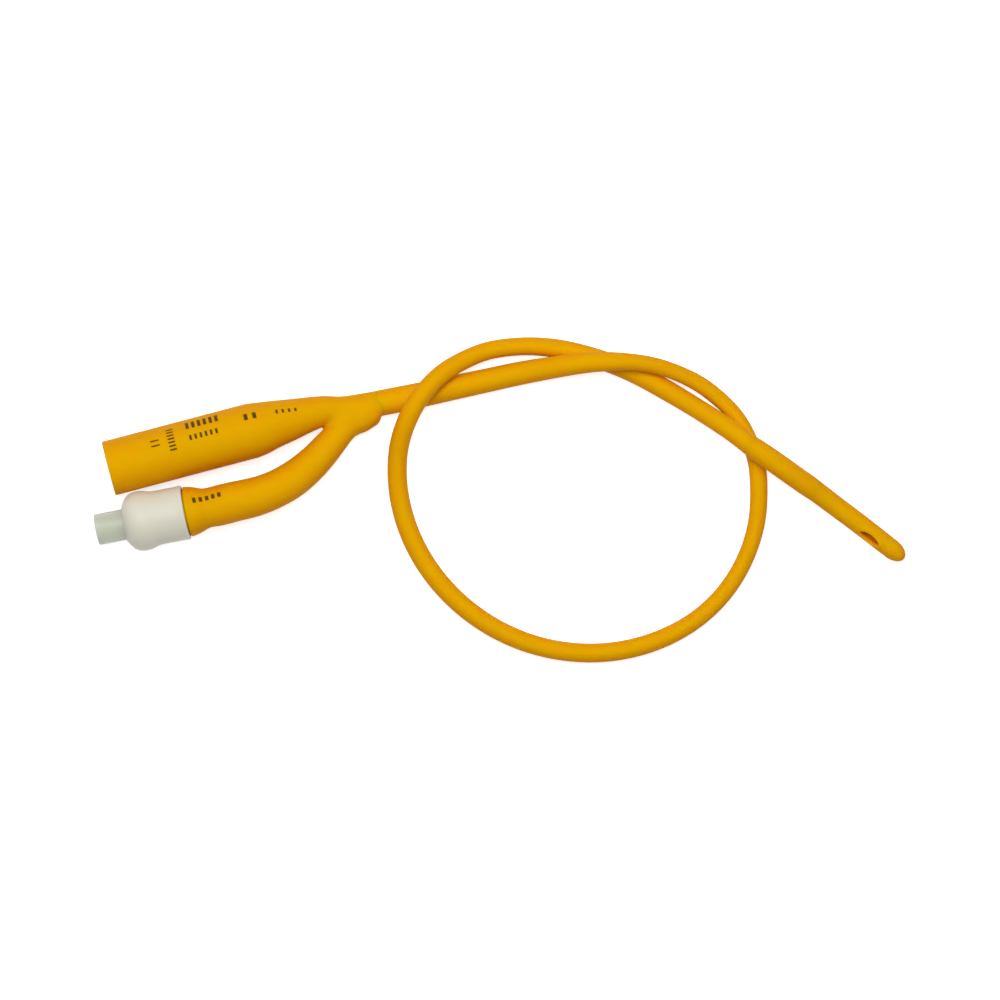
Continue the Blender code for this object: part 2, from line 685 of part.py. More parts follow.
def main():
    clear_scene()
    latex = material("amber_latex", (0.76, 0.39, 0.01), 0.5)
    white = material("white_sleeve", (0.77, 0.75, 0.66), 0.45)
    frosted = material("frosted_plastic", (0.55, 0.59, 0.50), 0.35, 0.3)
    black = material("seal_rubber", (0.03, 0.03, 0.03), 0.6)
    steel = material("spring_wire", (0.6, 0.6, 0.6), 0.3)
    root = empty("catheter", None)
    valve = empty("valve_axis", root)
    valve.location = valve_point(0.0)
    valve.rotation_euler = (0.0, -VALVE_RISE, VALVE_YAW)
    body = build_body(root, latex)
    course, length = hose_course()
    balloon = (length - TIP_LENGTH - BALLOON_LENGTH, length - TIP_LENGTH)
    build_hose(root, latex, course, balloon)
    build_balloon(root, latex, course, balloon)
    build_tip(root, latex, course, length)
    sleeve = build_sleeve(valve, white)
    port = build_port(valve, frosted)
    build_stem(valve, frosted)
    build_plunger(valve, frosted, black, steel)
    centre_on_base(root, (body, sleeve, port))


main()
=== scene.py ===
"""The looks of a two-way balloon catheter of natural latex that lies on a white table.

All lengths are in metres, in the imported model's frame. Routes are written from the middle of the
funnel's mouth, as the hose was laid, and moved to the frame by LAYOUT.
"""

import math

import bmesh
import bpy
import numpy as np
from mathutils import Matrix, Vector


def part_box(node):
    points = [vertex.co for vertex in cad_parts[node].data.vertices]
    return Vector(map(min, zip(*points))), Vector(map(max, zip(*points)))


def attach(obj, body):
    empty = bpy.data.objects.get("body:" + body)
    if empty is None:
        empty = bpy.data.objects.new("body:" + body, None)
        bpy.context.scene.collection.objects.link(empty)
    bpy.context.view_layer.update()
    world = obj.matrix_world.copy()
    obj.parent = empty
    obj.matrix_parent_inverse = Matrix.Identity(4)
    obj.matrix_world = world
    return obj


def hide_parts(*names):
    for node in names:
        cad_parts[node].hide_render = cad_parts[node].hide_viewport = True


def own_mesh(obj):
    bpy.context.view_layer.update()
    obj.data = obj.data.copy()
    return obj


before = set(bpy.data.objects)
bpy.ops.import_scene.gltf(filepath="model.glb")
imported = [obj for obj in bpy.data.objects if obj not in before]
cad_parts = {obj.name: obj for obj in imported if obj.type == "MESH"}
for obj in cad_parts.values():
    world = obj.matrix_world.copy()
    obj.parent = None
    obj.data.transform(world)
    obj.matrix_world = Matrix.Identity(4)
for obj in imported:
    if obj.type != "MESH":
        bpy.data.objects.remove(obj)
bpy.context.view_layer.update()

# Clearance between pieces that meet
FIT = 0.0003

# Drainage funnel
FUNNEL_RADIUS = 0.00602
MOUTH_WALL = 0.0013
THROAT_WALL = 0.0016
RIM_ROUND = 0.00022
CUP_LEAD = 0.0040
# The bore's rings stand this far off the plane of the mouth, for a clean cut
OFF_PLANE = 0.00001
THROAT_ROUTE = (
    (0.0320, 0.0, 0.00602, 0.00602),
    (0.0335, 0.00002, 0.00598, 0.00585),
    (0.0360, 0.00012, 0.00577, 0.00540),
    (0.0400, 0.00018, 0.00537, 0.00470),
    (0.0440, 0.00027, 0.00488, 0.00398),
    (0.0470, 0.00026, 0.00450, 0.00349),
    (0.0495, 0.00003, 0.00412, 0.00312),
    (0.0515, -0.00040, 0.00382, 0.00293),
    (0.0540, -0.00078, 0.00350, 0.00286),
    (0.0570, -0.00105, 0.00320, 0.00283),
    (0.0600, -0.00128, 0.00302, 0.00281),
    (0.0625, -0.00145, 0.00292, 0.00276),
    (0.0650, -0.0016, 0.00285, 0.00266),
)

# Inflation arm, from the elbow behind the sleeve to the hump where it runs out
ARM_ROUTE = (
    (0.02450, -0.01393, 0.00798, 0.00438),
    (0.02850, -0.01406, 0.00796, 0.00430),
    (0.03202, -0.01386, 0.00775, 0.00417),
    (0.03504, -0.01335, 0.00740, 0.00408),
    (0.03806, -0.01249, 0.00690, 0.00399),
    (0.04106, -0.01123, 0.00632, 0.00383),
    (0.04407, -0.00962, 0.00570, 0.00362),
    (0.04707, -0.00766, 0.00510, 0.00340),
    (0.05003, -0.00571, 0.00452, 0.00305),
    (0.05301, -0.00425, 0.00402, 0.00274),
    (0.05601, -0.00360, 0.00362, 0.00288),
    (0.05800, -0.00337, 0.00342, 0.00253),
    (0.05930, -0.00328, 0.00332, 0.00198),
    (0.06000, -0.00324, 0.00326, 0.00115),
)
FLARE_RADIUS = 0.00548
# The flare, as distance from its lip and share of its radius
FLARE_SHAPE = (
    (-0.0030, 1.005), (-0.0010, 1.005), (0.0, 1.0), (0.0010, 0.978),
    (0.0020, 0.932), (0.0031, 0.862), (0.0040, 0.805), (0.0050, 0.788),
)
LIP_ROUND = 0.0002
ELBOW_AT = 0.0062

# The soft corner between throat and arm: fine in the crotch and wide at the hump, and where it
# widens along X and with height
CROTCH_FILLET = 0.0004
HUMP_FILLET = 0.0030
FILLET_RISE = (0.0455, 0.0520)
FILLET_LIFT = (0.0038, 0.0058)
# Past here the body's closed end, hidden in the hose, keeps its shape
END_HELD = (0.0636, 0.0643)
# The step between the body's rows, and every how many of them its rough shape takes
BODY_STEP = 0.0003
ROUGH_EVERY = 3
# How far the tools that cut the body reach past it, and the channel past the stem
TRIM_AHEAD = 0.006
TRIM_REACH = 0.012
BORE_AHEAD = 0.001
CHANNEL_RUN = 0.004

# Valve, along its own axis from the rim of the nozzle inwards
NOZZLE_RADIUS = 0.00340
NOZZLE_LENGTH = 0.0062
LUER_RADIUS = 0.00215
LUER_TAPER = 0.06
LUER_DEPTH = 0.0075
LUER_ROUND = 0.00015
NOZZLE_ROUND = 0.0003
SEAT_FACE = 0.0085
SEAT_HOLE_RADIUS = 0.00105
CHAMBER_RADIUS = 0.0025
BARREL_RADIUS = 0.0032
BARREL_END = 0.0168
FLANGE_RADIUS = 0.0049
FLANGE_START = 0.0073
FLANGE_END = 0.0096
STEM_RADIUS = 0.0029
BARBS_START = 0.0183
STEM_END = 0.0254
CHANNEL_RADIUS = 0.0011
SPRING_START = 0.0110
SPRING_LENGTH = 0.0036
SPRING_RADIUS = 0.00135
SPRING_WIRE = 0.00017
SPRING_TURNS = 4.5
SPRING_STEPS = 48

# White sleeve
SLEEVE_RADIUS = 0.00590
SLEEVE_BORE = 0.0050
SLEEVE_END = 0.0198
ARM_START = 0.0127
BULB_RADIUS = 0.0065
# Where the bulb is widest, along the valve's axis and in X from the funnel's mouth
BULB_AT = 0.00994
BULB_X = 0.0040
SLEEVE_STEP = 0.00014
SLEEVE_CHAMFER = 0.0001
# The sleeve's outline in four stretches, as distance and share of the radius: the bulb's front
# from the nozzle's end, its back and the waist from its middle, and the lip from the end
BULB_FRONT = (
    (0.00002, 0.58), (0.00026, 0.655), (0.00075, 0.775),
    (0.00127, 0.865), (0.0019, 0.935), (0.0027, 0.985),
)
BULB_BACK = ((0.0, 1.0), (0.0010, 0.993), (0.0019, 0.961))
WAIST = ((0.0028, 1.016), (0.0038, 1.0))
LIP = ((-0.0030, 1.0), (-0.0014, 1.0), (-0.0006, 1.012), (-0.0002, 1.004), (0.0, 0.978))
# How the valve's axis turns away from X and rises
VALVE_YAW = math.radians(-3.6)
VALVE_RISE = math.radians(4.0)

# Hose: the points it was laid through, x, y, z and its outer radius there
HOSE_ROUTE = (
    (0.06030, -0.00128, 0.00302, 0.00281),
    (0.06500, -0.00159, 0.00293, 0.00282),
    (0.07050, -0.00187, 0.00278, 0.00275),
    (0.07720, -0.00214, 0.00272, 0.00269),
    (0.08390, -0.00246, 0.00271, 0.00262),
    (0.08990, -0.00271, 0.00275, 0.00258),
    (0.09540, -0.00310, 0.00370, 0.00249),
    (0.10110, -0.00366, 0.00550, 0.00236),
    (0.10661, -0.00434, 0.00672, 0.00226),
    (0.11121, -0.00534, 0.00697, 0.00208),
    (0.11581, -0.00666, 0.00655, 0.00182),
    (0.12053, -0.00875, 0.00522, 0.00176),
    (0.12458, -0.01140, 0.00385, 0.00176),
    (0.12901, -0.01529, 0.00255, 0.00180),
    (0.13228, -0.01954, 0.00188, 0.00177),
    (0.13479, -0.02410, 0.00176, 0.00172),
    (0.13605, -0.02911, 0.00180, 0.00179),
    (0.13640, -0.03460, 0.00190, 0.00189),
    (0.13536, -0.04062, 0.00193, 0.00192),
    (0.13350, -0.04635, 0.00189, 0.00188),
    (0.12994, -0.05261, 0.00186, 0.00184),
    (0.12399, -0.05901, 0.00189, 0.00187),
    (0.11616, -0.06383, 0.00195, 0.00193),
    (0.10642, -0.06647, 0.00204, 0.00203),
    (0.09578, -0.06644, 0.00209, 0.00207),
    (0.08566, -0.06371, 0.00210, 0.00208),
    (0.07687, -0.05884, 0.00212, 0.00211),
    (0.06910, -0.05160, 0.00217, 0.00215),
    (0.06320, -0.04240, 0.00220, 0.00217),
    (0.06000, -0.03260, 0.00225, 0.00217),
    (0.05939, -0.02320, 0.00250, 0.00214),
    (0.06049, -0.01632, 0.00370, 0.00211),
    (0.06246, -0.01098, 0.00545, 0.00213),
    (0.06502, -0.00689, 0.00730, 0.00214),
    (0.06826, -0.00326, 0.00812, 0.00213),
    (0.07211, -0.00032, 0.00767, 0.00208),
    (0.07629, 0.00182, 0.00620, 0.00205),
    (0.08090, 0.00309, 0.00440, 0.00200),
    (0.08560, 0.00369, 0.00305, 0.00198),
    (0.09038, 0.00335, 0.00225, 0.00196),
    (0.09528, 0.00233, 0.00202, 0.00197),
    (0.10061, 0.00042, 0.00208, 0.00206),
    (0.10614, -0.00243, 0.00213, 0.00211),
    (0.11156, -0.00592, 0.00218, 0.00216),
    (0.11685, -0.01004, 0.00228, 0.00225),
    (0.12177, -0.01473, 0.00236, 0.00226),
    (0.12656, -0.01964, 0.00300, 0.00219),
    (0.13021, -0.02359, 0.00420, 0.00221),
    (0.13356, -0.02743, 0.00555, 0.00223),
    (0.13635, -0.03104, 0.00645, 0.00227),
    (0.13897, -0.03412, 0.00650, 0.00236),
    (0.14140, -0.03700, 0.00590, 0.00237),
    (0.14413, -0.04028, 0.00475, 0.00237),
    (0.14725, -0.04396, 0.00345, 0.00232),
    (0.15025, -0.04776, 0.00255, 0.00225),
    (0.15370, -0.05210, 0.00228, 0.00222),
    (0.15770, -0.05730, 0.00221, 0.00219),
    (0.16210, -0.06310, 0.00216, 0.00214),
)
# The hose's usual thickness, and the step between its rows
HOSE_STEP = 0.0006
# How far the hose starts inside the Y body, and how much thinner it is there
HOSE_LEAD = 0.0030
HOSE_NECK = 0.0004
# The balloon swells softly over its fade at both ends
BALLOON_LENGTH = 0.0172
BALLOON_FADE = 0.0024
BALLOON_SWELL = 0.00006
# How far hose, balloon and tip run on inside each other, and how much thinner they are there
CORE_LEAD = 0.0030
CORE_STEP = 0.00025

# Tip: bore, dome and two staggered eyes, measured back from the end
TIP_LENGTH = 0.0260
TIP_BORE = 0.0013
TIP_DOME = 0.0036
EYE_LENGTH = 0.0050
EYE_WIDTH = 0.0020
EYE_DEPTH = 0.0020
EYES = ((0.0087, math.radians(40.0)), (0.0162, math.radians(220.0)))
# How far before an eye the tip's direction is taken
EYE_SIGHT = 0.0016
# Rows along the straight of the tip, and the angles of those that close its dome
TIP_ROWS = 90
DOME_TURNS = np.radians(np.linspace(6.0, 88.0, 18))

# Photograph: how the object is turned in it, the width that it covers, where its middle lies
# from the funnel's mouth, and a long lens and its sensor in millimetres
PICTURE_TURN = math.radians(-14.8)
PICTURE_WIDTH = 0.21739
PICTURE_OFFSET = (0.080445, -0.028316)
LENS = 1000.0
SENSOR = 36.0

# Where the middle of the funnel's mouth lies in the frame
BODY_LOW, BODY_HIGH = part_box("y_funnel")
LAYOUT = Vector((BODY_LOW.x, BODY_HIGH.y - FUNNEL_RADIUS, 0.0))
PICTURE_MIDDLE = (LAYOUT.x + PICTURE_OFFSET[0], LAYOUT.y + PICTURE_OFFSET[1])
VALVE_TURN = Matrix.Rotation(VALVE_YAW, 4, "Z") @ Matrix.Rotation(-VALVE_RISE, 4, "Y")
INWARDS = VALVE_TURN.to_3x3() @ Vector((1.0, 0.0, 0.0))

# Colours, linear
AMBER = (0.885, 0.485, 0.0005, 1.0)
AMBER_PALE = (0.91, 0.51, 0.001, 1.0)
AMBER_DEEP = (0.86, 0.46, 0.0005, 1.0)
# Painted shade: a darker, redder amber for the upright sides of the tubes, where they lie in shade
AMBER_PAINTED_SHADE = (0.76, 0.13, 0.0002, 1.0)
# Painted light: a brighter, redder amber inside the holes, standing in for light that comes through
# the thin wall
AMBER_PAINTED_HOLE_LIGHT = (0.995, 0.40, 0.001, 1.0)
AMBER_SHEEN = (1.0, 0.62, 0.06, 1.0)
INK = (0.045, 0.032, 0.008, 1.0)
WHITE_RUBBER = (0.84, 0.82, 0.70, 1.0)
WHITE_WARM = (0.80, 0.76, 0.62, 1.0)
FROSTED = (0.84, 0.875, 0.745, 1.0)
FROSTED_CLEAR = (0.89, 0.925, 0.80, 1.0)
SEAL_BLACK = (0.03, 0.03, 0.03, 1.0)
SEAL_GREY = (0.06, 0.06, 0.06, 1.0)
STEEL = (0.62, 0.61, 0.59, 1.0)
STEEL_DULL = (0.5, 0.5, 0.48, 1.0)
TABLE_WHITE = (0.92, 0.92, 0.92, 1.0)
TABLE_LIFT = (0.70, 0.70, 0.70, 1.0)
UNLIFTED = (0.0, 0.0, 0.0, 1.0)
WHITE = (1.0, 1.0, 1.0, 1.0)

# How much painted shade, a darker and redder tone standing in for the shade on the tubes' sides, the
# latex takes where its surface stands upright
PAINTED_SHADE_SHARE = 0.5

# The mesh's own value that is 1 in a latex piece's holes and 0 on its outside, which gives the holes
# painted light, and how deep under the outside it starts and is full
INNER = "inner"
INNER_START = 0.00005
INNER_FULL = 0.00025

# Table and light: the rays for which the table is lifted to white under its shadows, how far
# it lies below the object, and the strength of the world
SEEN_RAYS = ("Is Camera Ray", "Is Glossy Ray", "Is Transmission Ray")
TABLE_DROP = 0.00002
WORLD_STRENGTH = 0.27

# How many points the search for a tube's nearest row takes at a time
FIELD_BATCH = 20000


class Wire:
    """A node's output, so that sums on it read as plain expressions."""

    def __init__(self, finish, socket):
        self.finish = finish
        self.socket = socket

    def __add__(self, other):
        return self.finish.maths("ADD", self, other)

    def __radd__(self, other):
        return self.finish.maths("ADD", other, self)

    def __sub__(self, other):
        return self.finish.maths("SUBTRACT", self, other)

    def __rsub__(self, other):
        return self.finish.maths("SUBTRACT", other, self)

    def __mul__(self, other):
        return self.finish.maths("MULTIPLY", self, other)

    def __rmul__(self, other):
        return self.finish.maths("MULTIPLY", other, self)

    def __truediv__(self, other):
        return self.finish.maths("DIVIDE", self, other)

    def __abs__(self):
        return self.finish.maths("ABSOLUTE", self)


class Finish:
    """A material with one Principled shader, whose nodes are added by kind."""

    def __init__(self, name):
        self.material = bpy.data.materials.new(name)
        self.material.use_nodes = True
        self.tree = self.material.node_tree
        self.shader = self.tree.nodes["Principled BSDF"]

    def feed(self, socket, value):
        if isinstance(value, Wire):
            self.tree.links.new(value.socket, socket)
        else:
            socket.default_value = value

    def surface(self, **values):
        """Sets or links the shader's sockets, each named with underscores for spaces."""
        for name, value in values.items():
            self.feed(self.shader.inputs[name.replace("_", " ")], value)

    def node(self, kind, settings, inputs, output=0):
        made = self.tree.nodes.new(kind)
        for name, value in settings.items():
            setattr(made, name, value)
        for name, value in inputs.items():
            self.feed(made.inputs[name], value)
        return Wire(self, made.outputs[output])

    def maths(self, operation, first, second=0.0, clamp=False):
        settings = {"operation": operation, "use_clamp": clamp}
        return self.node("ShaderNodeMath", settings, {0: first, 1: second})

    def mix(self, share, first, second):
        return self.node("ShaderNodeMix", {"data_type": "RGBA"}, {0: share, 6: first, 7: second}, 2)

    def where(self):
        return self.node("ShaderNodeTexCoord", {}, {}, "Object")

    def axes(self, where):
        split = self.node("ShaderNodeSeparateXYZ", {}, {0: where})
        outputs = split.socket.node.outputs
        return [Wire(self, outputs[name]) for name in "XYZ"]

    def noise(self, where, size, detail=2.0):
        """Noise from 0 to 1 whose blotches are about that size across."""
        inputs = {"Vector": where, "Scale": 1.0 / size, "Detail": detail}
        return self.node("ShaderNodeTexNoise", {}, inputs)

    def bump(self, height, depth, strength):
        inputs = {"Height": height, "Distance": depth, "Strength": strength}
        return self.node("ShaderNodeBump", {}, inputs)

    def within(self, distance, half, soft):
        """1 where the distance is under half, 0 beyond, over a soft edge."""
        return self.maths("ADD", (half - distance) / soft, 0.5, clamp=True)


def smooth_curve(points):
    """A cubic through rows of numbers whose first three are a place. It takes the distance run."""
    rows = np.array(points, dtype=float)
    steps = np.linalg.norm(np.diff(rows[:, :3], axis=0), axis=1)
    knots = np.concatenate(([0.0], np.cumsum(steps)))
    count = len(knots)
    system = np.eye(count)
    right = np.zeros_like(rows)
    for i in range(1, count - 1):
        system[i, i - 1] = steps[i - 1]
        system[i, i] = 2.0 * (steps[i - 1] + steps[i])
        system[i, i + 1] = steps[i]
        slope_out = (rows[i + 1] - rows[i]) / steps[i]
        slope_in = (rows[i] - rows[i - 1]) / steps[i - 1]
        right[i] = 3.0 * (slope_out - slope_in)
    bend = np.linalg.solve(system, right)

    def at(distance):
        i = int(np.clip(np.searchsorted(knots, distance) - 1, 0, count - 2))
        run = distance - knots[i]
        slope = (rows[i + 1] - rows[i]) / steps[i] - steps[i] * (2.0 * bend[i] + bend[i + 1]) / 3.0
        cube = (bend[i + 1] - bend[i]) / (3.0 * steps[i])
        return rows[i] + slope * run + bend[i] * run**2 + cube * run**3

    return at, knots[-1]


def placed(points):
    """Rows of x, y, z, radius moved from the layout to the frame."""
    rows = np.array(points, dtype=float)
    rows[:, :3] += np.array(LAYOUT)
    return rows


def sample(points, step):
    """Rows at even steps along the smooth curve through the points."""
    at, length = smooth_curve(points)
    count = max(2, round(length / step) + 1)
    return np.array([at(distance) for distance in np.linspace(0.0, length, count)])


def valve_point(distance):
    """A point on the valve's axis, that far in from the rim of the nozzle, in the frame."""
    bulb = Vector((BULB_X, -(FUNNEL_RADIUS + BULB_RADIUS + FIT), BULB_RADIUS + FIT / 10.0))
    return LAYOUT + bulb + INWARDS * (distance - BULB_AT)


def valve_place():
    """Moves what is turned about local X, from the rim of the nozzle inwards, to the valve."""
    return Matrix.Translation(valve_point(0.0)) @ VALVE_TURN


def level_frames(centres):
    """For each centre, a sideways and an upward direction square to a path that runs nearly level."""
    along = np.gradient(centres, axis=0)
    along /= np.linalg.norm(along, axis=1)[:, None]
    side = np.cross(along, (0.0, 0.0, 1.0))
    side /= np.linalg.norm(side, axis=1)[:, None]
    return along, side, np.cross(side, along)


def mesh_of(name, bm):
    mesh = bpy.data.meshes.new(name)
    bm.to_mesh(mesh)
    bm.free()
    return mesh


def ringed_mesh(name, rings, closed):
    """A mesh over rings of equally many points: capped at both ends, or joined last ring to first."""
    count, sides = rings.shape[:2]
    first = np.arange(count if closed else count - 1)[:, None] * sides
    second = (first + sides) % (count * sides)
    near = np.arange(sides)[None, :]
    far = (near + 1) % sides
    quads = np.stack((first + near, first + far, second + far, second + near), axis=-1)
    faces = quads.reshape(-1, 4).tolist()
    if not closed:
        faces.append(list(range(sides)))
        faces.append(list(range((count - 1) * sides, count * sides)))
    rough = bpy.data.meshes.new(name)
    rough.from_pydata(rings.reshape(-1, 3).tolist(), [], faces)
    bm = bmesh.new()
    bm.from_mesh(rough)
    bpy.data.meshes.remove(rough)
    bmesh.ops.recalc_face_normals(bm, faces=bm.faces)
    return mesh_of(name, bm)


def rings_about(centres, first, second, radii, sides):
    """A ring of points about each centre, in the plane of its two directions."""
    turn = np.linspace(0.0, 2.0 * math.pi, sides, endpoint=False)[:, None]
    spokes = first[:, None] * np.cos(turn) + second[:, None] * np.sin(turn)
    return centres[:, None] + spokes * np.reshape(radii, (-1, 1, 1))


def tube(name, rows, sides):
    """A solid tube along rows of x, y, z, radius."""
    _, side, up = level_frames(rows[:, :3])
    return ringed_mesh(name, rings_about(rows[:, :3], side, up, rows[:, 3], sides), closed=False)


def turned(name, profile, sides, closed=True):
    """A body of revolution about local X from (distance along X, radius)."""
    shape = np.array(profile)
    turn = np.linspace(0.0, 2.0 * math.pi, sides, endpoint=False)
    rings = np.zeros((len(shape), sides, 3))
    rings[:, :, 0] = shape[:, :1]
    rings[:, :, 1] = shape[:, 1:] * np.cos(turn)
    rings[:, :, 2] = shape[:, 1:] * np.sin(turn)
    return ringed_mesh(name, rings, closed)


def add(name, mesh):
    obj = bpy.data.objects.new(name, mesh)
    bpy.context.scene.collection.objects.link(obj)
    return obj


def settle(obj):
    """Puts the result of the object's modifiers in its mesh."""
    bpy.context.view_layer.update()
    seen = obj.evaluated_get(bpy.context.evaluated_depsgraph_get())
    mesh = bpy.data.meshes.new_from_object(seen)
    obj.modifiers.clear()
    obj.data = mesh
    return obj


def combined(obj, operation, tools):
    """Joins the tools to the object or cuts them out of it, and drops them."""
    for tool in tools:
        modifier = obj.modifiers.new("combine", "BOOLEAN")
        modifier.operation = operation
        modifier.object = tool
    settle(obj)
    for tool in tools:
        bpy.data.objects.remove(tool, do_unlink=True)
    return obj


def relaxed(obj, rounds):
    modifier = obj.modifiers.new("relax", "SMOOTH")
    modifier.factor = 0.5
    modifier.iterations = rounds
    return settle(obj)


def remeshed(obj, size, rounds):
    """Gives the object an even skin with faces of about that size, and relaxes it."""
    modifier = obj.modifiers.new("even", "REMESH")
    modifier.mode = "VOXEL"
    modifier.voxel_size = size
    return relaxed(obj, rounds)


def dress(obj, finish, node, crease=35.0):
    """Gives a piece of the catheter its finish, smooth shading and a place under the catheter's body,
    and hides the node of the imported model that it stands for.
    """
    obj.data.materials.clear()
    obj.data.materials.append(finish.material)
    obj.data.shade_smooth()
    obj.data.set_sharp_from_angle(angle=math.radians(crease))
    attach(obj, "catheter")
    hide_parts(node)
    return obj


def ramp(values, low, high):
    """0 below the low value, 1 above the high one, and smooth between."""
    share = np.clip((values - low) / (high - low), 0.0, 1.0)
    return share * share * (3.0 - 2.0 * share)


def tube_field(rows, points):
    """How far points lie outside a tube, and the way straight out of it there."""
    centres = rows[:, :3]
    along, _, _ = level_frames(centres)
    slope = np.gradient(rows[:, 3]) / np.linalg.norm(np.gradient(centres, axis=0), axis=1)
    nearest = np.empty(len(points), dtype=int)
    for start in range(0, len(points), FIELD_BATCH):
        part = points[start:start + FIELD_BATCH]
        away = (centres**2).sum(1)[None, :] - 2.0 * part @ centres.T
        nearest[start:start + FIELD_BATCH] = away.argmin(1)
    run = ((points - centres[nearest]) * along[nearest]).sum(1)
    foot = centres[nearest] + along[nearest] * run[:, None]
    radial = points - foot
    length = np.linalg.norm(radial, axis=1)
    return length - rows[nearest, 3] - slope[nearest] * run, radial / length[:, None]


def vertex_places(obj):
    places = np.empty(len(obj.data.vertices) * 3)
    obj.data.vertices.foreach_get("co", places)
    return places.reshape(-1, 3)


def mark_inner(obj, rows):
    """Notes on the mesh which of its vertices lie in holes, well under a tube's outside, for the
    painted light there.
    """
    outside, _ = tube_field(rows, vertex_places(obj))
    inner = obj.data.attributes.new(INNER, "FLOAT", "POINT")
    inner.data.foreach_set("value", ramp(-outside, INNER_START, INNER_FULL))


def press_to(obj, field, rounds):
    """Moves each vertex straight onto the field's surface, in small steps."""
    places = vertex_places(obj)
    for _ in range(rounds):
        distance, way = field(places)
        places -= way * distance[:, None]
    obj.data.vertices.foreach_set("co", places.ravel())
    obj.data.update()


def photo_camera():
    """Straight down on the table from far off, turned as the photograph shows the object."""
    data = bpy.data.cameras.new("camera")
    data.lens = LENS
    data.sensor_width = SENSOR
    data.clip_end = 20.0
    camera = bpy.data.objects.new("camera", data)
    bpy.context.scene.collection.objects.link(camera)
    camera.location = (*PICTURE_MIDDLE, PICTURE_WIDTH * LENS / SENSOR)
    camera.rotation_euler = (0.0, 0.0, PICTURE_TURN)
    bpy.context.scene.camera = camera


def blotchy(finish, where, deep, middle, pale):
    """A colour that drifts between three tones, as in dipped latex."""
    cloud = finish.noise(where, size=0.011, detail=3.0)
    fleck = finish.noise(where, size=0.0012)
    ground = finish.mix(cloud, deep, pale)
    return finish.mix(0.55 + 0.25 * fleck, ground, middle), cloud, fleck


def latex(name, ink=None):
    """Natural latex: satin amber that lets light in, with painted shade, darker and redder, on its
    upright sides, and painted light, brighter and redder, in its holes.
    """
    finish = Finish(name)
    where = finish.where()
    colour, cloud, fleck = blotchy(finish, where, AMBER_DEEP, AMBER, AMBER_PALE)
    skin = finish.noise(where, size=0.00022, detail=3.0)
    upward = finish.axes(finish.node("ShaderNodeNewGeometry", {}, {}, "Normal"))[2]
    # Painted shade: the upright sides take a darker, redder tone, as the shade under the lamp above
    # would give them
    colour = finish.mix(PAINTED_SHADE_SHARE - PAINTED_SHADE_SHARE * upward * upward, colour, AMBER_PAINTED_SHADE)
    # Painted light: the holes take a brighter, redder tone, standing in for light through the thin
    # latex
    inner = finish.node("ShaderNodeAttribute", {"attribute_name": INNER}, {}, "Fac")
    colour = finish.mix(inner, colour, AMBER_PAINTED_HOLE_LIGHT)
    if ink:
        colour = finish.mix(ink(finish, where), colour, INK)
    finish.surface(
        Base_Color=colour,
        Roughness=0.50 + 0.10 * cloud + 0.06 * fleck,
        Normal=finish.bump(skin * 0.7 + fleck * 0.3, depth=0.00004, strength=0.5),
        Subsurface_Weight=0.85,
        Subsurface_Radius=(1.0, 0.22, 0.02),
        Subsurface_Scale=0.0014,
        IOR=1.52,
        Specular_IOR_Level=0.10,
        Specular_Tint=AMBER_SHEEN,
    )
    return finish


def white_rubber():
    """Soft white rubber, a little warm in clouds."""
    finish = Finish("white_rubber")
    where = finish.where()
    cloud = finish.noise(where, size=0.006, detail=3.0)
    skin = finish.noise(where, size=0.00025)
    finish.surface(
        Base_Color=finish.mix(cloud * 0.6, WHITE_RUBBER, WHITE_WARM),
        Roughness=0.44 + 0.10 * cloud,
        Normal=finish.bump(skin, depth=0.00003, strength=0.4),
        Subsurface_Weight=0.25,
        Subsurface_Radius=(1.0, 0.85, 0.6),
        Subsurface_Scale=0.0012,
        Specular_IOR_Level=0.4,
    )
    return finish


def frosted_plastic(name):
    """Rigid plastic, half clear under a fine frost."""
    finish = Finish(name)
    where = finish.where()
    cloud = finish.noise(where, size=0.003, detail=3.0)
    grain = finish.noise(where, size=0.00012)
    finish.surface(
        Base_Color=finish.mix(cloud, FROSTED, FROSTED_CLEAR),
        Roughness=0.34 + 0.16 * grain,
        Normal=finish.bump(grain, depth=0.00003, strength=0.5),
        Transmission_Weight=0.5,
        IOR=1.49,
        Subsurface_Weight=0.3,
        Subsurface_Radius=(1.0, 1.0, 0.85),
        Subsurface_Scale=0.001,
    )
    return finish


def seal_rubber():
    """Black rubber with a fine grain."""
    finish = Finish("seal_rubber")
    grain = finish.noise(finish.where(), size=0.0002, detail=3.0)
    finish.surface(Base_Color=finish.mix(grain, SEAL_BLACK, SEAL_GREY), Roughness=0.5 + 0.2 * grain)
    return finish


def spring_wire():
    """Bright drawn steel."""
    finish = Finish("spring_wire")
    grain = finish.noise(finish.where(), size=0.0001, detail=3.0)
    tone = finish.mix(grain, STEEL, STEEL_DULL)
    finish.surface(Base_Color=tone, Roughness=0.22 + 0.15 * grain, Metallic=1.0)
    return finish


# Ink marks, given for the funnel's and the arm's axis, each a place in y and a height. Ink lies
# above the lowest height only
FUNNEL_AXIS = (0.0, FUNNEL_RADIUS)
ARM_AXIS = (-0.0137, 0.0076)
INK_SOFT = 0.00009
INK_LOWEST = 0.004
# Whole spacings that are added, so that no place along a row is below zero
INK_SHIFT = 100.0
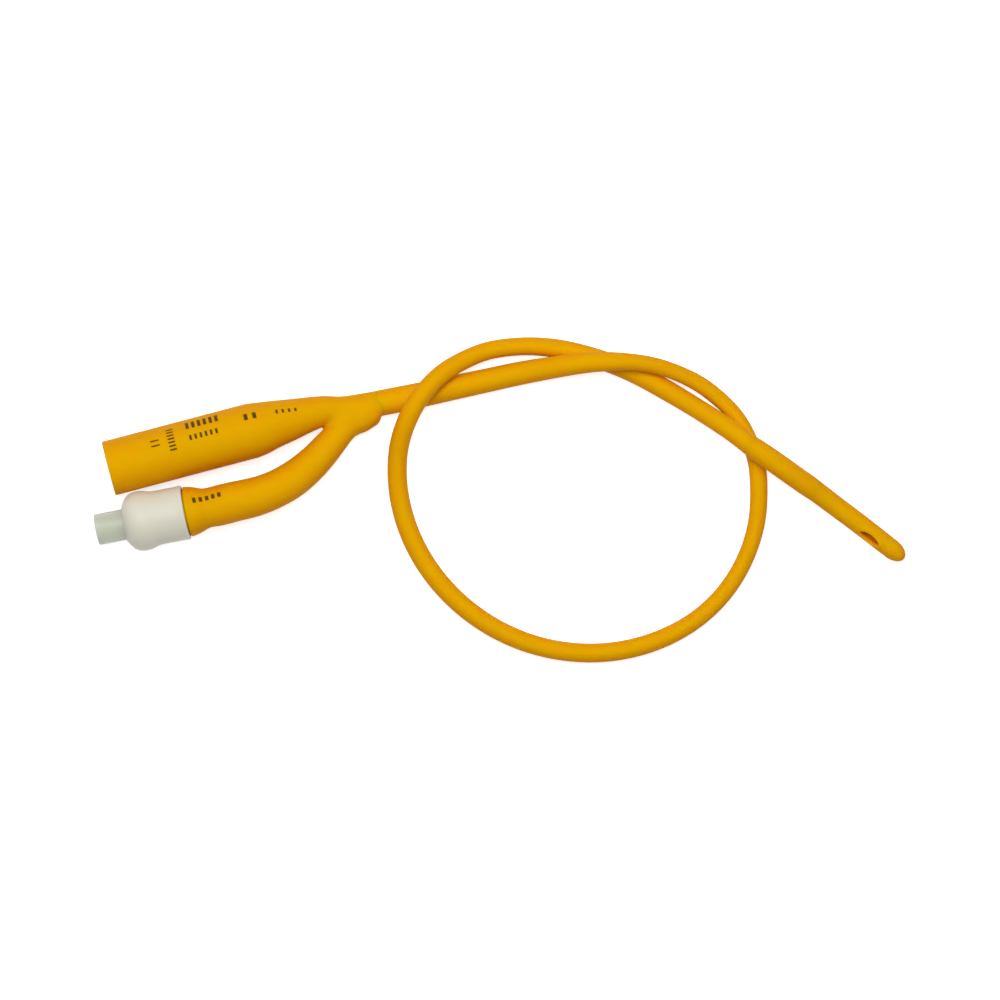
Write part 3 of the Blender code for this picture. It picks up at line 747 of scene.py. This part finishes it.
# Each row of bars: axis, middle along it, middle round it, how many, spacing, bar length, bar
# width, and whether the bars stand across the axis
INK_ROWS = (
    (FUNNEL_AXIS, 0.0112, 0.0028, 2, 0.00120, 0.0019, 0.00036, False),
    (FUNNEL_AXIS, 0.0148, 0.0029, 7, 0.00084, 0.0015, 0.00040, False),
    (FUNNEL_AXIS, 0.0221, 0.0053, 6, 0.00130, 0.0021, 0.00070, True),
    (FUNNEL_AXIS, 0.0219, 0.0020, 6, 0.00116, 0.0012, 0.00052, True),
    (FUNNEL_AXIS, 0.0326, 0.0034, 2, 0.00190, 0.0016, 0.00085, True),
    (FUNNEL_AXIS, 0.0405, 0.0036, 4, 0.00135, 0.0013, 0.00050, True),
    (ARM_AXIS, 0.0190, 0.0038, 5, 0.00138, 0.0020, 0.00074, True),
)


def ink_marks(finish, where):
    """1 on the ink: rows of short bars on the upper side of the funnel and the arm."""
    x, y, z = finish.axes(where)
    marks = 0.0
    for axis, middle, lift, count, spacing, length, width, upright in INK_ROWS:
        aside = y - (LAYOUT.y + axis[0])
        above = z - axis[1]
        round_it = finish.maths("ARCTAN2", aside, above) * axis[1]
        along = x - (LAYOUT.x + middle)
        across = round_it - lift
        step, reach = (along, across) if upright else (across, along)
        turns = step / spacing + (INK_SHIFT + count % 2 * 0.5)
        off = abs(finish.maths("FRACT", turns) - 0.5) * spacing
        bar = finish.within(off, width / 2.0, INK_SOFT)
        row = finish.within(abs(step), count * spacing / 2.0, INK_SOFT)
        end = finish.within(abs(reach), length / 2.0, INK_SOFT)
        marks = finish.maths("MAXIMUM", marks, bar * row * end)
    top = finish.maths("GREATER_THAN", z, INK_LOWEST)
    worn = 0.78 + 0.25 * finish.noise(where, size=0.0006)
    return marks * top * worn


def arm_rows(step):
    """The arm's outside from within the sleeve to the hump."""
    lip = SLEEVE_END + FIT
    points = [(*valve_point(lip + offset), FLARE_RADIUS * share) for offset, share in FLARE_SHAPE]
    points.append((*valve_point(lip + ELBOW_AT), ARM_ROUTE[0][3]))
    points += placed(ARM_ROUTE).tolist()
    return sample(points, step)


def rounded_corner(corner, size, first, last, steps=5):
    """Points round a circle's arc about a corner, from one angle to another, in degrees."""
    arc = []
    for i in range(steps + 1):
        turn = math.radians(first + (last - first) * i / steps)
        arc.append((corner[0] + size * math.cos(turn), corner[1] + size * math.sin(turn)))
    return arc


def mouth_trimmer():
    """What is cut off before the mouth, with the rounding of its outer edge."""
    edge = rounded_corner((RIM_ROUND, FUNNEL_RADIUS - RIM_ROUND), RIM_ROUND, 180.0, 90.0)
    profile = [(-TRIM_AHEAD, TRIM_REACH), (RIM_ROUND, TRIM_REACH), *edge[::-1]]
    obj = add("trimmer", turned("trimmer", profile, sides=128, closed=False))
    obj.matrix_world = Matrix.Translation(LAYOUT + Vector((0.0, 0.0, FUNNEL_RADIUS)))
    return obj


def drainage_bore(rows):
    """The wide bore, with the rounding of the mouth's inner edge."""
    first = LAYOUT.x - OFF_PLANE
    length = rows[-1, 0] - first
    bore_mouth = FUNNEL_RADIUS - MOUTH_WALL
    stations = [(first - BORE_AHEAD, LAYOUT.y, FUNNEL_RADIUS, bore_mouth + RIM_ROUND)]
    for x, radius in rounded_corner((RIM_ROUND, bore_mouth + RIM_ROUND), RIM_ROUND, 180.0, 270.0):
        stations.append((first + x, LAYOUT.y, FUNNEL_RADIUS, radius))
    for row in rows[rows[:, 0] > first + 2.0 * RIM_ROUND]:
        wall = MOUTH_WALL + (THROAT_WALL - MOUTH_WALL) * (row[0] - first) / length
        stations.append((*row[:3], row[3] - wall))
    return add("bore", tube("bore", np.array(stations), sides=96))


def arm_trimmer():
    """What is cut off round and before the arm's end, where it sits inside the sleeve."""
    inner = SLEEVE_BORE - FIT
    lip = SLEEVE_END + FIT
    reach = FLARE_RADIUS + FIT
    shoulder = rounded_corner((lip + LIP_ROUND, FLARE_RADIUS - LIP_ROUND), LIP_ROUND, 180.0, 90.0)
    profile = [
        (ARM_START - TRIM_AHEAD, reach),
        (lip + LIP_ROUND, reach),
        *shoulder[::-1],
        (lip, inner),
        (ARM_START, inner),
    ]
    obj = add("arm_trimmer", turned("arm_trimmer", profile, sides=96, closed=False))
    obj.matrix_world = valve_place()
    return obj


def arm_socket():
    """The stepped hole in the arm that takes the barrel and the barbs."""
    profile = (
        (ARM_START - BORE_AHEAD, BARREL_RADIUS + FIT),
        (BARBS_START + FIT, BARREL_RADIUS + FIT),
        (BARBS_START + 1.5 * FIT, STEM_RADIUS + FIT),
        (STEM_END + FIT, STEM_RADIUS + FIT),
        (STEM_END + 2.0 * FIT, CHANNEL_RADIUS),
        (STEM_END + CHANNEL_RUN, CHANNEL_RADIUS),
    )
    obj = add("arm_socket", turned("arm_socket", profile, sides=64, closed=False))
    obj.matrix_world = valve_place()
    return obj


def build_body(finish):
    """The moulded Y body: its outside is one soft skin over throat and arm, then cut and bored."""
    cone = sample(placed(THROAT_ROUTE), BODY_STEP)
    cup_length = THROAT_ROUTE[0][0] + CUP_LEAD
    cup = np.linspace(cone[0] - (cup_length, 0.0, 0.0, 0.0), cone[0], round(cup_length / BODY_STEP))
    throat = np.concatenate((cup[:-1], cone))
    arm = arm_rows(BODY_STEP)
    body = add("y_body", tube("y_body", throat[::ROUGH_EVERY], sides=48))
    combined(body, "UNION", [add("limb", tube("limb", arm[::ROUGH_EVERY], sides=48))])
    remeshed(body, size=0.00032, rounds=12)

    def skin(points):
        near, way_near = tube_field(throat, points)
        far, way_far = tube_field(arm, points)
        share = ramp(points[:, 0] - LAYOUT.x, *FILLET_RISE) * ramp(points[:, 2], *FILLET_LIFT)
        soft = CROTCH_FILLET + (HUMP_FILLET - CROTCH_FILLET) * share
        blend = np.clip(0.5 + 0.5 * (far - near) / soft, 0.0, 1.0)
        distance = far * (1.0 - blend) + near * blend - soft * blend * (1.0 - blend)
        distance *= 1.0 - ramp(points[:, 0] - LAYOUT.x, *END_HELD)
        way = way_far * (1.0 - blend)[:, None] + way_near * blend[:, None]
        return distance, way / np.linalg.norm(way, axis=1)[:, None]

    press_to(body, skin, rounds=5)
    relaxed(body, rounds=4)
    press_to(body, skin, rounds=4)
    tools = [mouth_trimmer(), drainage_bore(throat), arm_trimmer(), arm_socket()]
    combined(body, "DIFFERENCE", tools)
    return dress(body, finish, "y_funnel")


def build_hose(finish, course, length):
    """The free hose, from inside the Y body to under the balloon."""
    start = course(0.0)
    ahead = course(HOSE_STEP) - start
    rows = [start - ahead / np.linalg.norm(ahead[:3]) * HOSE_LEAD]
    rows[0][3] = start[3] - HOSE_NECK
    balloon = length - TIP_LENGTH - BALLOON_LENGTH
    for distance in np.arange(0.0, length - TIP_LENGTH, HOSE_STEP):
        row = course(distance)
        row[3] -= CORE_STEP * ramp(distance - balloon, BALLOON_FADE, 2.0 * BALLOON_FADE)
        rows.append(row)
    rows = np.array(rows)
    hose = add("hose", tube("hose", rows, sides=48))
    return dress(hose, finish, "shaft"), rows[:, :3].tolist()


def build_balloon(finish, course, length):
    """The deflated balloon, a thin sleeve that rises softly out of the hose and runs out softly."""
    start = length - TIP_LENGTH - BALLOON_LENGTH
    end = BALLOON_LENGTH + BALLOON_FADE
    rows = []
    for distance in np.arange(-CORE_LEAD, end + CORE_LEAD, HOSE_STEP / 2.0):
        row = course(start + distance)
        inside = min(distance, end - distance)
        row[3] += BALLOON_SWELL * (2.0 * ramp(inside, 0.0, BALLOON_FADE) - 1.0)
        row[3] -= CORE_STEP * ramp(max(-distance, distance - end), 0.0, HOSE_STEP)
        rows.append(row)
    balloon = add("balloon", tube("balloon", np.array(rows), sides=64))
    return dress(balloon, finish, "balloon_sleeve")


def eye_tool(course, length, back, lean):
    """An oval through the wall of the tip, leaning from the top towards the outside of the loop."""
    row = course(length - back)
    centre = Vector(row[:3])
    along = (centre - Vector(course(length - back - EYE_SIGHT)[:3])).normalized()
    side = along.cross(Vector((0.0, 0.0, 1.0))).normalized()
    up = side.cross(along)
    outward = up * math.cos(lean) + side * math.sin(lean)
    across = outward.cross(along)
    bm = bmesh.new()
    bmesh.ops.create_uvsphere(bm, u_segments=48, v_segments=24, radius=1.0)
    shape = Matrix((along, across, outward)).transposed()
    scale = Matrix.Diagonal((EYE_LENGTH / 2.0, EYE_WIDTH / 2.0, EYE_DEPTH))
    bmesh.ops.transform(bm, matrix=(shape @ scale).to_4x4(), verts=bm.verts)
    bmesh.ops.translate(bm, vec=centre + outward * row[3], verts=bm.verts)
    return add("eye", mesh_of("eye", bm))


def domed(course, start, straight, dome, radius=None):
    """Rows along the tip that end in a dome, as thick as the hose's course or of one radius."""
    rows = [course(distance) for distance in np.linspace(start, straight, TIP_ROWS)]
    if radius:
        for row in rows:
            row[3] = radius
    last = rows[-1][3]
    for turn in DOME_TURNS:
        row = course(straight + dome * math.sin(turn))
        row[3] = last * math.cos(turn)
        rows.append(row)
    return np.array(rows)


def build_tip(finish, course, length):
    """The bored end with its dome and two eyes, whose edges are softened by an even remesh."""
    start = length - TIP_LENGTH
    straight = length - TIP_DOME
    outside = domed(course, start - CORE_LEAD, straight, TIP_DOME)
    inside = domed(course, start + CORE_LEAD, straight, TIP_BORE, radius=TIP_BORE)
    tip = add("tip", tube("tip", outside, sides=72))
    tools = [add("tip_bore", tube("tip_bore", inside, sides=48))]
    tools += [eye_tool(course, length, back, lean) for back, lean in EYES]
    combined(tip, "DIFFERENCE", tools)
    remeshed(tip, size=0.00011, rounds=8)
    mark_inner(tip, outside)
    return dress(tip, finish, "eyed_tip", crease=60.0)


def build_sleeve(finish):
    """The white sleeve: its bulb, waist and thin lip are one smooth line, turned."""
    stretches = (
        (NOZZLE_LENGTH, BULB_RADIUS, BULB_FRONT),
        (BULB_AT, BULB_RADIUS, BULB_BACK),
        (BULB_AT, SLEEVE_RADIUS, WAIST),
        (SLEEVE_END, SLEEVE_RADIUS, LIP),
    )
    outline = []
    for start, radius, shape in stretches:
        outline += [(start + offset, 0.0, 0.0, radius * share) for offset, share in shape]
    outside = [(row[0], row[3]) for row in sample(outline, SLEEVE_STEP)]
    snug = FIT / 3.0
    inside = [
        (SLEEVE_END, SLEEVE_BORE),
        (ARM_START - FIT, SLEEVE_BORE),
        (ARM_START - FIT, BARREL_RADIUS + FIT),
        (FLANGE_END + snug, BARREL_RADIUS + FIT),
        (FLANGE_END + snug, FLANGE_RADIUS + snug),
        (FLANGE_START - snug, FLANGE_RADIUS + snug),
        (FLANGE_START - snug, NOZZLE_RADIUS + FIT / 2.0),
        (NOZZLE_LENGTH + SLEEVE_CHAMFER, NOZZLE_RADIUS + FIT / 2.0),
        (NOZZLE_LENGTH, NOZZLE_RADIUS + FIT),
    ]
    sleeve = add("sleeve", turned("sleeve", outside + inside, sides=128))
    sleeve.data.transform(valve_place())
    return dress(sleeve, finish, "valve_sleeve")


def build_port(finish):
    """The frosted valve body: socket, seat, chamber and flange, with rounded rims."""
    rim = NOZZLE_RADIUS
    luer_end = LUER_RADIUS - LUER_DEPTH * LUER_TAPER / 2.0
    profile = [
        *rounded_corner((LUER_ROUND, LUER_RADIUS + LUER_ROUND), LUER_ROUND, 270.0, 180.0),
        *rounded_corner((NOZZLE_ROUND, rim - NOZZLE_ROUND), NOZZLE_ROUND, 180.0, 90.0),
        (FLANGE_START, rim),
        (FLANGE_START, FLANGE_RADIUS),
        (FLANGE_END, FLANGE_RADIUS),
        (FLANGE_END, BARREL_RADIUS),
        (BARREL_END, BARREL_RADIUS),
        (BARREL_END, CHAMBER_RADIUS),
        (SEAT_FACE, CHAMBER_RADIUS),
        (SEAT_FACE, SEAT_HOLE_RADIUS),
        (LUER_DEPTH, SEAT_HOLE_RADIUS),
        (LUER_DEPTH, luer_end),
    ]
    port = add("port", turned("port", profile, sides=96))
    port.data.transform(valve_place())
    return dress(port, finish, "luer_port")


def build_spring(finish):
    """The valve's return spring as a fixed coil; the real one shortens towards the stem as the
    plunger is pushed in.
    """
    turn = np.linspace(0.0, 2.0 * math.pi * SPRING_TURNS, round(SPRING_STEPS * SPRING_TURNS) + 1)
    climb = (SPRING_LENGTH - 2.0 * SPRING_WIRE) / turn[-1]
    slope = np.full_like(turn, climb / SPRING_RADIUS)
    outward = np.stack((np.zeros_like(turn), np.cos(turn), np.sin(turn)), axis=1)
    along = np.stack((slope, -np.sin(turn), np.cos(turn)), axis=1)
    across = np.cross(along / np.linalg.norm(along, axis=1)[:, None], outward)
    centres = outward * SPRING_RADIUS
    centres[:, 0] = SPRING_START + SPRING_WIRE + climb * turn
    rings = rings_about(centres, outward, across, SPRING_WIRE, sides=16)
    spring = add("spring", ringed_mesh("spring", rings, closed=False))
    spring.data.transform(valve_place())
    dress(spring, finish, "valve_spring")
    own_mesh(spring)


def dress_node(name, finish):
    """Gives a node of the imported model, kept as it is, its finish."""
    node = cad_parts[name]
    node.data.materials.clear()
    node.data.materials.append(finish.material)


def table():
    """The plain white table."""
    finish = Finish("table")
    rays = [finish.node("ShaderNodeLightPath", {}, {}, name) for name in SEEN_RAYS]
    seen = finish.maths("MAXIMUM", finish.maths("MAXIMUM", rays[0], rays[1]), rays[2])
    lift = finish.mix(seen, UNLIFTED, TABLE_LIFT)
    finish.surface(
        Base_Color=TABLE_WHITE, Roughness=0.9, Specular_IOR_Level=0.0,
        Emission_Color=lift, Emission_Strength=1.0,
    )
    bm = bmesh.new()
    bmesh.ops.create_grid(bm, x_segments=1, y_segments=1, size=1.5)
    obj = add("table", mesh_of("table", bm))
    obj.data.materials.append(finish.material)
    obj.location = (*PICTURE_MIDDLE, -TABLE_DROP)


def lamp(name, aim, distance, height, size, power):
    """A soft square lamp, aim degrees from the picture's top towards its left, over the table."""
    data = bpy.data.lights.new(name, "AREA")
    data.shape = "SQUARE"
    data.size = size
    data.energy = power
    obj = bpy.data.objects.new(name, data)
    bpy.context.scene.collection.objects.link(obj)
    turn = math.radians(aim) + PICTURE_TURN
    middle = Vector((*PICTURE_MIDDLE, 0.0))
    obj.location = middle + Vector((-math.sin(turn) * distance, math.cos(turn) * distance, height))
    obj.rotation_euler = (middle - obj.location).to_track_quat("-Z", "Y").to_euler()


def studio():
    """Even light from all round, and a soft lamp high over the picture's upper edge."""
    world = bpy.data.worlds.new("studio")
    world.use_nodes = True
    sky = world.node_tree.nodes["Background"].inputs
    sky["Color"].default_value = WHITE
    sky["Strength"].default_value = WORLD_STRENGTH
    bpy.context.scene.world = world
    lamp("key", aim=12.0, distance=0.34, height=1.0, size=0.6, power=7.4)
    bpy.context.scene.view_settings.view_transform = "Standard"


def main():
    photo_camera()
    course, length = smooth_curve(placed(HOSE_ROUTE))
    plain = latex("amber_latex")
    hose, path = build_hose(plain, course, length)
    balloon = build_balloon(plain, course, length)
    tip = build_tip(plain, course, length)
    tuple(course(0.0)[:3])
    length - TIP_LENGTH
    build_body(latex("marked_latex", ink_marks))
    build_sleeve(white_rubber())
    clear = frosted_plastic("frosted_plastic")
    build_port(clear)
    dress_node("barbed_stem", clear)
    dress_node("valve_plunger", clear)
    dress_node("plunger_seal", seal_rubber())
    build_spring(spring_wire())
    table()
    studio()


main()
